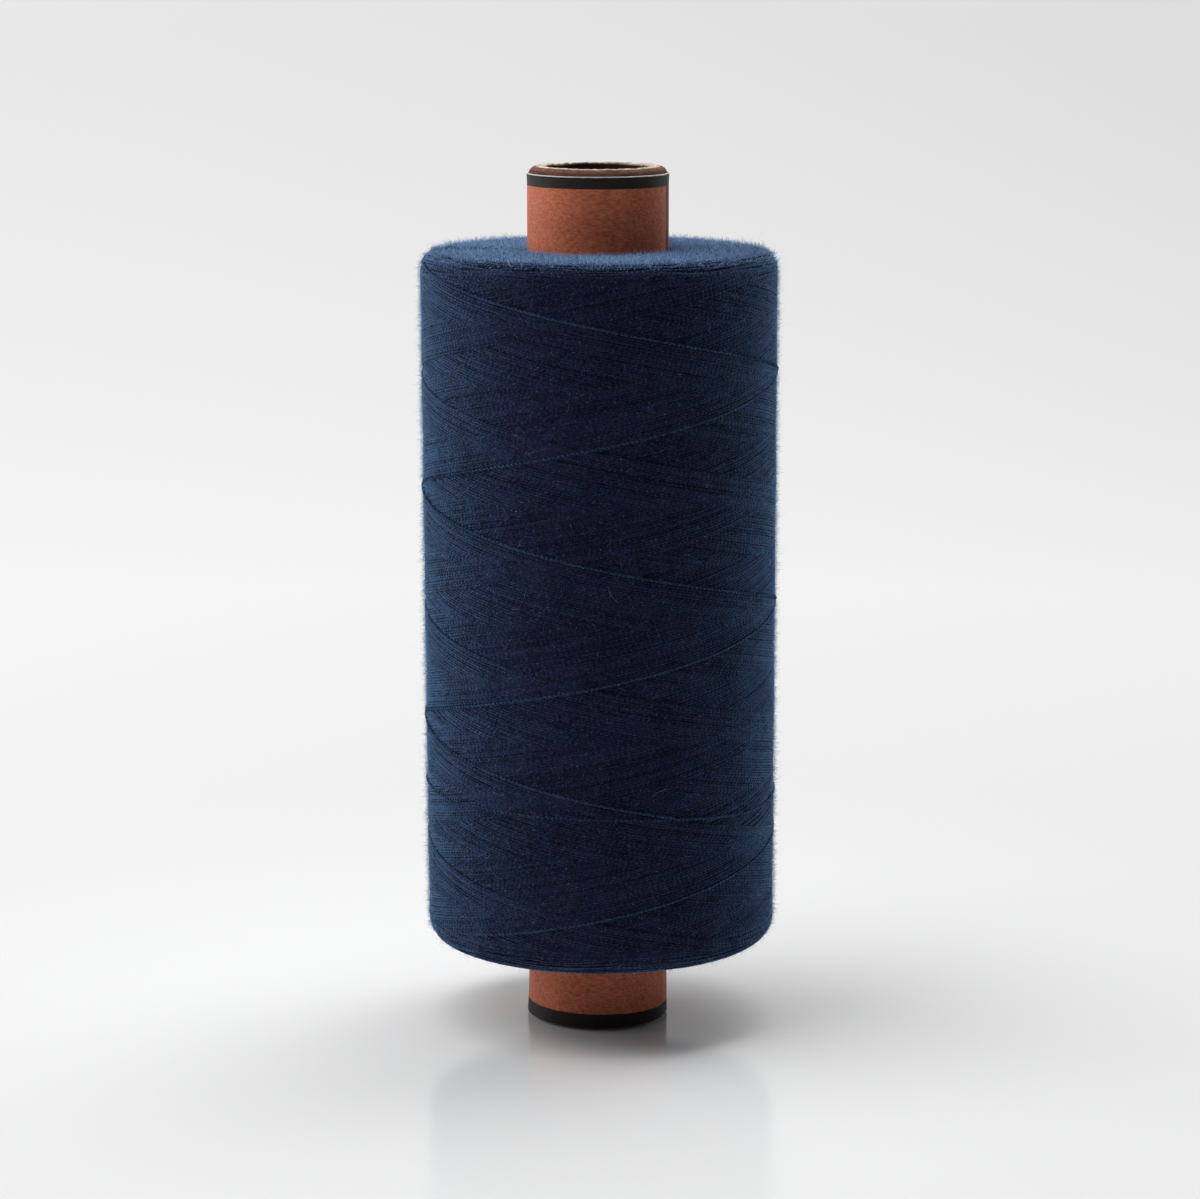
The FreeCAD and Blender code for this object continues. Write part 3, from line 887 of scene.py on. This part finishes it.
def turnBackStrands(fromTop):
    t = turnBacks
    strands = []
    onward = 1 if fromTop else -1
    flankHeight = winding["highTurn"] if fromTop else winding["lowTurn"]
    flankEnd = runAtHeight(flankHeight - onward * t["overBands"])
    lastRun = outlineRun[-1] - t["toTube"] if fromTop else t["toTube"]
    for row in np.arange(0, abs(lastRun - flankEnd), t["rowStep"]):
        run = flankEnd + onward * row
        wider = (t["middleRadius"] / np.interp(run, outlineRun, outlinePoints[:, 0])) ** 0.5
        angle = chance.random() * 360
        finish = angle + 360 * t["rounds"]
        while angle < finish:
            span = chance.uniform(*t["arcs"]) * wider
            angles = angle + np.arange(0, span, t["stepAngle"] * wider)
            middle = (angles - angle - span / 2) / (span / 2)
            fall = t["dip"] * chance.uniform(0.1, 1.0) * middle ** 2
            runs = run + chance.normal(0, t["wave"]) - onward * fall
            lift = -t["pressedIn"] + chance.normal(0, t["liftJitter"])
            lift = lift - t["endsUnder"] * np.abs(middle) ** 3
            if len(angles) > 3:
                runs = np.clip(runs, 0.08, outlineRun[-1] - 0.08)
                strands.append((*onPackage(angles, runs, lift), t["thick"]))
            angle += span * t["stepOn"]
    return strands


for pieceName, fromTop in (("topTurnBacks", True), ("footTurnBacks", False)):
    turned = layStrands(pieceName, turnBackStrands(fromTop), squash=0.85, soften=0.1)
    finishPiece(turned, woundFinish, "thread")

# Last passes: twisted from two plies, as the nearest strands show

lastPasses = {
    "twist": 0.95,        # length of one full turn of the plies
    "plyThick": 0.165,
    "plyOff": 0.082,      # from the strand's centre
    "perTurn": 800,       # steps round the spool
    "liftUp": 0.01,
    "liftDown": 0.03,
    "overCrossing": 0.04,
    "crossingReach": 0.6,
    "upAngles": (-72, 976),
    "downAngles": (-78, 745),
    "levelAngles": (745, 1106),
    "turnHeights": (10.9, 75.9),  # where the upward pass eases out of one turn and into the next
    "turnEase": 0.35,
    "tuckFrom": 1096,     # the level turn's end goes under its own start
    "tuck": 0.2,
    "levelPath": [(745, 23.72), (752, 23.40), (762, 23.22), (782, 22.85), (802, 23.25),
                  (840, 23.70), (920, 24.20), (1002, 24.50), (1012, 24.12), (1035, 24.04),
                  (1074, 23.96), (1097, 23.74), (1106, 23.55)],  # angles and heights
    "levelEase": 24,      # steps to each side over which the path is smoothed
}
passStep = 360 / lastPasses["perTurn"]


def twistPlies(points, outs):
    # Two plies round each other along a strand's centre points
    p = lastPasses
    steps = np.linalg.norm(np.diff(points, axis=0), axis=1)
    length = np.concatenate([[0], np.cumsum(steps)])
    up, side = crossAxes(points, unit(np.gradient(points, axis=0)), outs)
    plies = []
    for start in (0, math.pi):
        turn = start + length / p["twist"] * 2 * math.pi
        away = up * np.cos(turn)[:, None] + side * np.sin(turn)[:, None]
        plies.append((points + away * p["plyOff"], outs, p["plyThick"]))
    return plies


def downHeight(angle):
    return winding["downEdge"] - winding["pitch"] * angle / 360


def upHeight(angle):
    return winding["upEdge"] + winding["pitch"] * angle / 360


def offNearestTurn(height, passHeight):
    half = winding["pitch"] / 2
    return np.mod(height - passHeight + half, winding["pitch"]) - half


def liftOverUpward(angle, height):
    away = offNearestTurn(height, upHeight(angle)) / lastPasses["crossingReach"]
    return lastPasses["overCrossing"] * np.exp(-away ** 2)


def layPass(pieceName, nodeName, angle, height, lift):
    points, outs = onPackage(angle, runAtHeight(height), lift)
    piece = layStrands(pieceName, twistPlies(points, outs), sides=5, squash=1.0, soften=0.0)
    finishPiece(piece, litLastFinish, "thread", nodeName)


# upward pass, from its turn at the foot to the turn at the top
ease, (lowTurn, highTurn) = lastPasses["turnEase"], lastPasses["turnHeights"]
angle = np.arange(*lastPasses["upAngles"], passStep)
height = lowTurn + np.logaddexp(0, (upHeight(angle) - lowTurn) / ease) * ease
height = highTurn - np.logaddexp(0, (highTurn - height) / ease) * ease
layPass("upwardWraps", "upward_wraps", angle, height, lastPasses["liftUp"])

# downward pass, from the turn at the top to the level turn
angle = np.arange(*lastPasses["downAngles"], passStep)
height = downHeight(angle)
layPass("downwardWraps", "downward_wraps", angle, height,
        lastPasses["liftDown"] + liftOverUpward(angle, height))

# level turn, its end tucked under its own start
angle = np.arange(*lastPasses["levelAngles"], passStep)
height = np.interp(angle, *zip(*lastPasses["levelPath"]))
ease = lastPasses["levelEase"]
evenly = np.ones(2 * ease + 1) / (2 * ease + 1)
height = np.convolve(np.pad(height, ease, mode="edge"), evenly, mode="valid")
tuck = np.interp(angle, [lastPasses["tuckFrom"], lastPasses["levelAngles"][1]],
                 [0, lastPasses["tuck"]])
layPass("levelWrap", "level_wrap", angle, height,
        lastPasses["liftDown"] + liftOverUpward(angle, height) - tuck)
print("last passes laid")

# Fuzz: short fibres, some lying along the strands and some standing off them

flankBelt = {"count": 20300, "thick": 0.029, "onEnd": False}
fuzz = {
    # each belt runs from one place on the outline to the next
    "belts": [
        {"from": 0.3, "to": 10.5, "count": 6000, "thick": 0.015, "onEnd": False},
        {"from": 10.5, "to": 24.0, **flankBelt},
        {"from": 24.0, "to": 37.3, **flankBelt},
        {"from": 37.3, "to": 50.6, **flankBelt},
        {"from": 50.6, "to": 63.9, **flankBelt},
        {"from": 63.9, "to": 77.3, **flankBelt},
        {"from": 77.3, "to": 87.2, "count": 24500, "thick": 0.040, "onEnd": True},
    ],
    "long": 0.10,           # share of long curled fibres, the rest are short and straight
    "longThick": 0.012,
    "bareBeside": 0.30,     # the last passes lie over the fuzz, so little of it is this near to them
    "stillThere": 0.15,
    # length: shape and scale of its spread, the limits and what is added to it
    "longLength": (3.0, 0.20, 0.1, 1.5, 0.25),
    "shortLength": (3.0, 0.085, 0.03, 0.7, 0.08),
    "curl": 0.45,
    "tones": [(0.0, (0.009, 0.014, 0.042, 1)), (0.6, (0.038, 0.071, 0.180, 1)),
              (1.0, (0.210, 0.370, 0.720, 1))],
    # the fibres on the end faces get a paler copy of the tones: painted light from above
    "litEndTones": [(0.0, (0.008, 0.016, 0.052, 1)), (0.5, (0.070, 0.128, 0.285, 1)),
                 (1.0, (0.440, 0.630, 0.940, 1))],
    "sheenTint": (0.40, 0.68, 1.0, 1),
    "sheenRoughness": 0.35,
    "seed": 23,
}


def fuzzFinish(name, tones, leastSheen):
    material, tree, shader = newMaterial(name)
    split = splitAxes(tree, addNode(tree, "UVMap", uv_map="threadRun").outputs["UV"])
    perFibre = addNode(tree, "TexWhiteNoise", {"W": mathNode(tree, "FLOOR", split["Y"])},
                       noise_dimensions="1D").outputs["Value"]
    # fibres stand in paler and darker tufts
    tuft = scaleAdd(tree, noise(tree, objectPlace(tree), 3400), 1.6, -0.58)
    tone = scaleAdd(tree, perFibre, 0.55, tuft)
    fillInputs(tree, shader, {
        "Base Color": colorRamp(tree, tone, tones),
        "Roughness": 0.6,
        "Specular IOR Level": 0.05,
        "Specular Tint": threadLook["glossTint"],
        "Sheen Weight": mapRange(tree, tone, 0.2, 0.75, leastSheen),
        "Sheen Roughness": fuzz["sheenRoughness"],
        "Sheen Tint": fuzz["sheenTint"],
    })
    return material


fibreFinish = fuzzFinish("fibreFinish", fuzz["tones"], 0.85)
# a paler copy of the fibre finish for the end faces: painted light from above
litEndFibreFinish = fuzzFinish("litEndFibreFinish", fuzz["litEndTones"], 0.5)
fibreChance = np.random.default_rng(fuzz["seed"])


def fibreLengths(count, shape, scale, least, most, more):
    return fibreChance.gamma(shape, scale, count).clip(least, most) + more


def fibreStrands(belt):
    runs = fibreChance.uniform(belt["from"], belt["to"], belt["count"])
    # fewer near the tube, where a ring is shorter
    weight = np.interp(runs, outlineRun, outlinePoints[:, 0]) / package["highRadius"]
    runs = runs[fibreChance.random(belt["count"]) < weight]
    angles = fibreChance.uniform(0, 360, len(runs))
    roots, outs = onPackage(angles, runs, 0.02)
    toLast = np.minimum(np.abs(offNearestTurn(roots[:, 2], upHeight(angles))),
                        np.abs(offNearestTurn(roots[:, 2], downHeight(angles))))
    isOpen = toLast > fuzz["bareBeside"]
    isOpen |= fibreChance.random(len(runs)) < fuzz["stillThere"]
    angles, roots, outs = angles[isOpen], roots[isOpen], outs[isOpen]
    count = len(angles)
    isLong = fibreChance.random(count) < fuzz["long"]
    lengths = np.where(isLong, fibreLengths(count, *fuzz["longLength"]),
                       fibreLengths(count, *fuzz["shortLength"]))
    # angle off the surface, in radians
    rise = np.where(isLong, np.abs(fibreChance.normal(0.3, 0.5, count)).clip(0.05, 1.4),
                    fibreChance.normal(1.0, 0.35, count).clip(0.05, 1.5))
    curls = fibreChance.normal(0, fuzz["curl"], count)
    a = np.radians(angles)
    level = np.column_stack([np.cos(a), np.sin(a), np.zeros(count)])  # along a level strand
    across = np.cross(outs, level)
    turn = fibreChance.uniform(-math.pi, math.pi, count)
    heading = level * np.cos(turn)[:, None] + across * np.sin(turn)[:, None]
    aside = np.cross(outs, heading)
    strands = []
    for c in range(count):
        t = np.linspace(0, 1, 3 if isLong[c] else 2)[:, None]
        bend = curls[c] * isLong[c]
        flat = heading[c] * math.cos(rise[c]) * t + aside[c] * bend * t ** 2
        off = outs[c] * math.sin(rise[c]) * (t - 0.3 * abs(bend) * t ** 2)
        strands.append((roots[c] + lengths[c] * (flat + off),
                        np.repeat(outs[c][None, :] + aside[c] * 0.02, len(t), axis=0),
                        fuzz["longThick"] if isLong[c] else belt["thick"]))
    return strands


for number, belt in enumerate(fuzz["belts"], start=1):
    fibres = layStrands("fuzz%d" % number, fibreStrands(belt), sides=3, squash=1.0, tip=0.35,
                        soften=1.0)
    finishPiece(fibres, litEndFibreFinish if belt["onEnd"] else fibreFinish, "thread")
print("fuzz grown")

# A few pale bits of lint caught on the thread

lint = {
    # angle, height, length, heading in degrees up from level, curl
    "hairs": [(2.5, 46.9, 2.2, -62, 0.35), (15.6, 25.9, 2.3, 22, -0.3), (-28.0, 28.3, 0.9, 40, 0.5),
              (41.0, 61.5, 0.8, 75, 0.4), (150.0, 52.0, 2.0, 30, 0.4), (230.0, 33.0, 1.6, -40, 0.3)],
    # angle, height
    "specks": [(-27.0, 53.5), (6.4, 58.7), (42.5, 57.6), (72.0, 57.5), (20.5, 62.8), (-60.0, 44.0),
               (33.0, 33.5), (110.0, 40.0), (200.0, 60.0), (265.0, 48.0), (300.0, 25.0)],
    "hairThick": 0.022,
    "hairLift": 0.16,
    "speckThick": 0.085,
    "speckLift": 0.13,
    "flankRadius": 17.3,
    "deep": (0.13, 0.16, 0.20, 1),
    "pale": (0.30, 0.34, 0.38, 1),
}
lintFinish, tree, shader = newMaterial("lintFinish")
lintTone = colorRamp(tree, noise(tree, objectPlace(tree), 2500),
                     [(0.35, lint["deep"]), (0.65, lint["pale"])])
fillInputs(tree, shader, {"Base Color": lintTone, "Roughness": 0.7})
bits = []
for angle, height, length, heading, curl in lint["hairs"]:
    t = np.linspace(0, 1, 9)
    turn = np.radians(heading) + curl * 2.5 * (t - 0.5)
    level = np.cumsum(np.cos(turn)) * length / 9
    climb = np.cumsum(np.sin(turn)) * length / 9
    points, outs = onPackage(angle + np.degrees(level / lint["flankRadius"]),
                             runAtHeight(height + climb), lint["hairLift"])
    bits.append((points, outs, lint["hairThick"]))
for angle, height in lint["specks"]:
    points, outs = onPackage(angle + np.array([0, 0.12, 0.24, 0.36]),
                             runAtHeight(height + np.zeros(4)), lint["speckLift"])
    bits.append((points, outs, lint["speckThick"]))
finishPiece(layStrands("lint", bits, sides=5, squash=1.0, soften=0.3), lintFinish, "thread")
